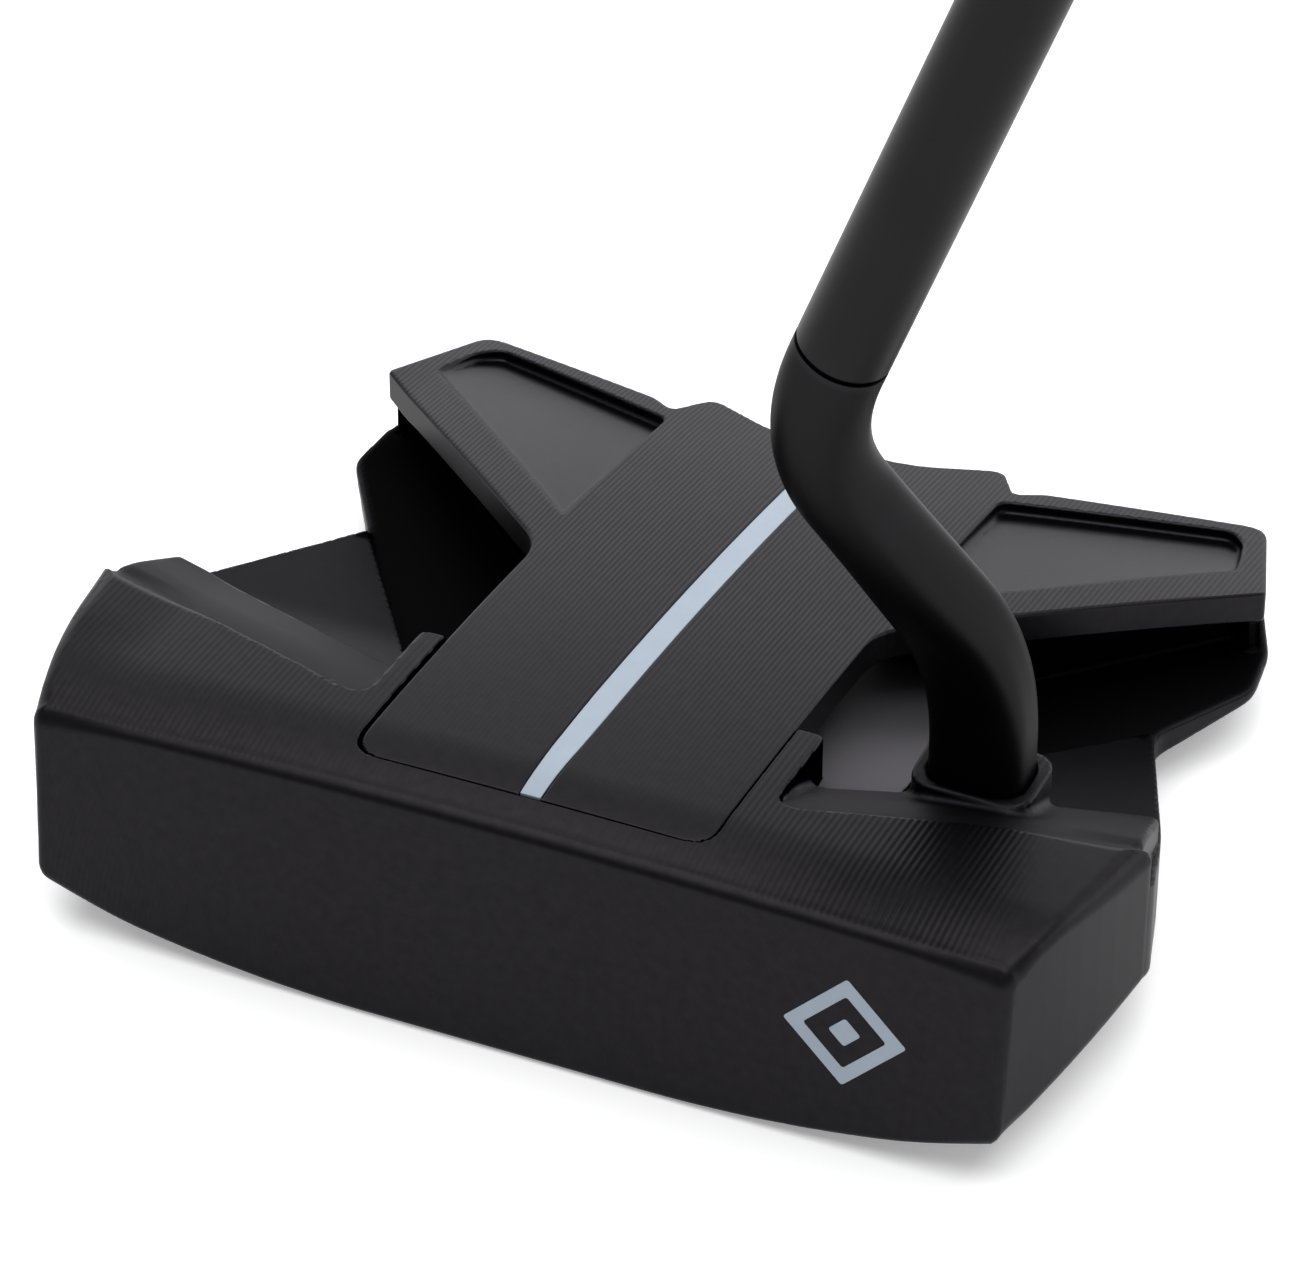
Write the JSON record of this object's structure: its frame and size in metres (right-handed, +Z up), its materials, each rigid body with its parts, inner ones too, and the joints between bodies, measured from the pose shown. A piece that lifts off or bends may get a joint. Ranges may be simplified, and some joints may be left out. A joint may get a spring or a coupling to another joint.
{
  "type": "mallet putter",
  "caption": "Golf putter with a black mallet head, winged top plate with a sight line, an S-bent neck set in from the heel, a steel shaft and a rubber grip.",
  "frame": {"origin": "centre of the flat pad on the sole, where the head rests on the ground at address", "axes": "+Z up from the ground, -Y the way the striking face looks, +X from toe to heel; the shaft leans towards +X"},
  "size_m": [0.3645, 0.0987, 0.8183],
  "materials": {
    "anodised_head": "satin black anodised, with fine milling lines on the top faces",
    "paint_fill": "pale blue-white paint in an engraved recess",
    "black_steel": "satin black coated steel",
    "bare_steel": "fine turned",
    "bond_resin": "cured epoxy",
    "cloth_tape": "double-sided grip tape",
    "grip_rubber": "matte, finely textured"
  },
  "bodies": {
    "root": {"head_body": "anodised_head", "top_plate": "anodised_head", "sight_line": "paint_fill", "face_mark_frame": "paint_fill", "face_mark_dot": "paint_fill", "plate_screw_front_toe": "black_steel", "plate_screw_front_heel": "black_steel", "plate_screw_rear_toe": "black_steel", "plate_screw_rear_heel": "black_steel", "plate_dowel_toe": "bare_steel", "plate_dowel_heel": "bare_steel", "sole_weight_toe": "bare_steel", "sole_weight_heel": "bare_steel", "neck": "black_steel", "neck_screw": "black_steel", "shaft": "black_steel", "shaft_bond": "bond_resin", "grip_tape": "cloth_tape", "grip": "grip_rubber", "grip_cap": "grip_rubber"}
  },
  "joints": []
}
